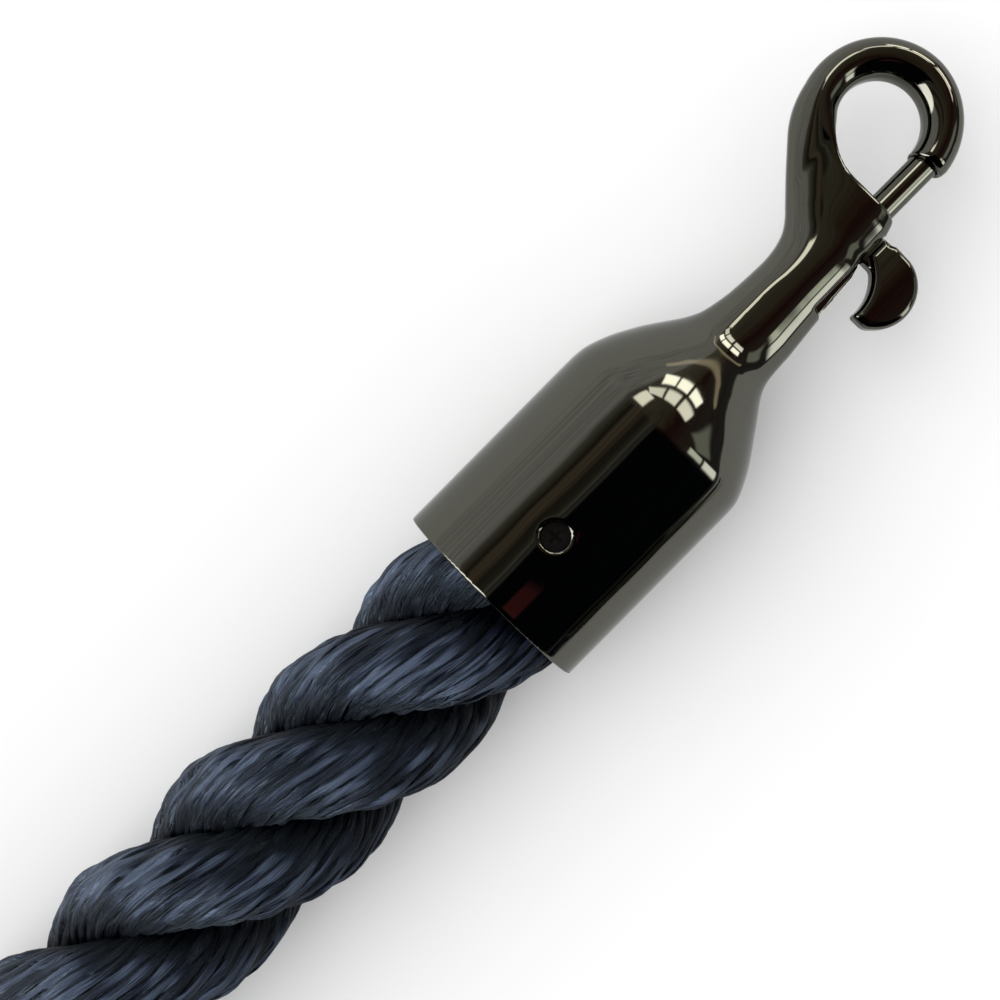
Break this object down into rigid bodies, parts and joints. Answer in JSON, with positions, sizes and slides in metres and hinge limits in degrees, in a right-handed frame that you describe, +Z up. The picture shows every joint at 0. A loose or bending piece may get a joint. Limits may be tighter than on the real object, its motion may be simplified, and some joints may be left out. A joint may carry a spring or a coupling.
{
  "type": "barrier rope",
  "caption": "Twisted barrier rope folded once on the floor, with a polished cap and snap hook on both ends; a sprung thumb lever draws back the bolt that closes each hook.",
  "frame": {"origin": "on the floor, midway between the two end fittings, at half their length", "axes": "+Z up, +Y from the rope to the hooks, +X from the near fitting to the far one"},
  "size_m": [0.306, 0.7004, 0.042],
  "materials": {
    "casting": "zinc casting, polished, black nickel plated",
    "latch_metal": "brass bolt and zinc lever, black nickel plated",
    "spring_steel": "bright spring steel wire",
    "plug_metal": "plain turned brass",
    "screw_steel": "black oxide steel",
    "tape": "black cloth-backed tape",
    "rope": "dark navy twisted synthetic filament yarn with a satin sheen"
  },
  "bodies": {
    "root": {"near_cap_hook": "casting", "near_latch_spring": "spring_steel", "near_bore_plug": "plug_metal", "near_rope_screws": "screw_steel", "near_rope_tape": "tape", "far_cap_hook": "casting", "far_latch_spring": "spring_steel", "far_bore_plug": "plug_metal", "far_rope_screws": "screw_steel", "far_rope_tape": "tape", "rope": "rope"},
    "near_latch_slide": {"near_latch_bolt": "latch_metal", "near_thumb_lever": "latch_metal"},
    "far_latch_slide": {"far_latch_bolt": "latch_metal", "far_thumb_lever": "latch_metal"}
  },
  "joints": [
    {"name": "near_latch", "type": "slide", "parent": "root", "child": "near_latch_slide", "axis": [0, -1, 0], "range_m": [0, 0.013], "stiffness_N_per_m": 350, "springref_m": -0.01, "deforming": ["near_latch_spring"]},
    {"name": "far_latch", "type": "slide", "parent": "root", "child": "far_latch_slide", "axis": [0, -1, 0], "range_m": [0, 0.013], "stiffness_N_per_m": 350, "springref_m": -0.01, "deforming": ["far_latch_spring"]}
  ]
}
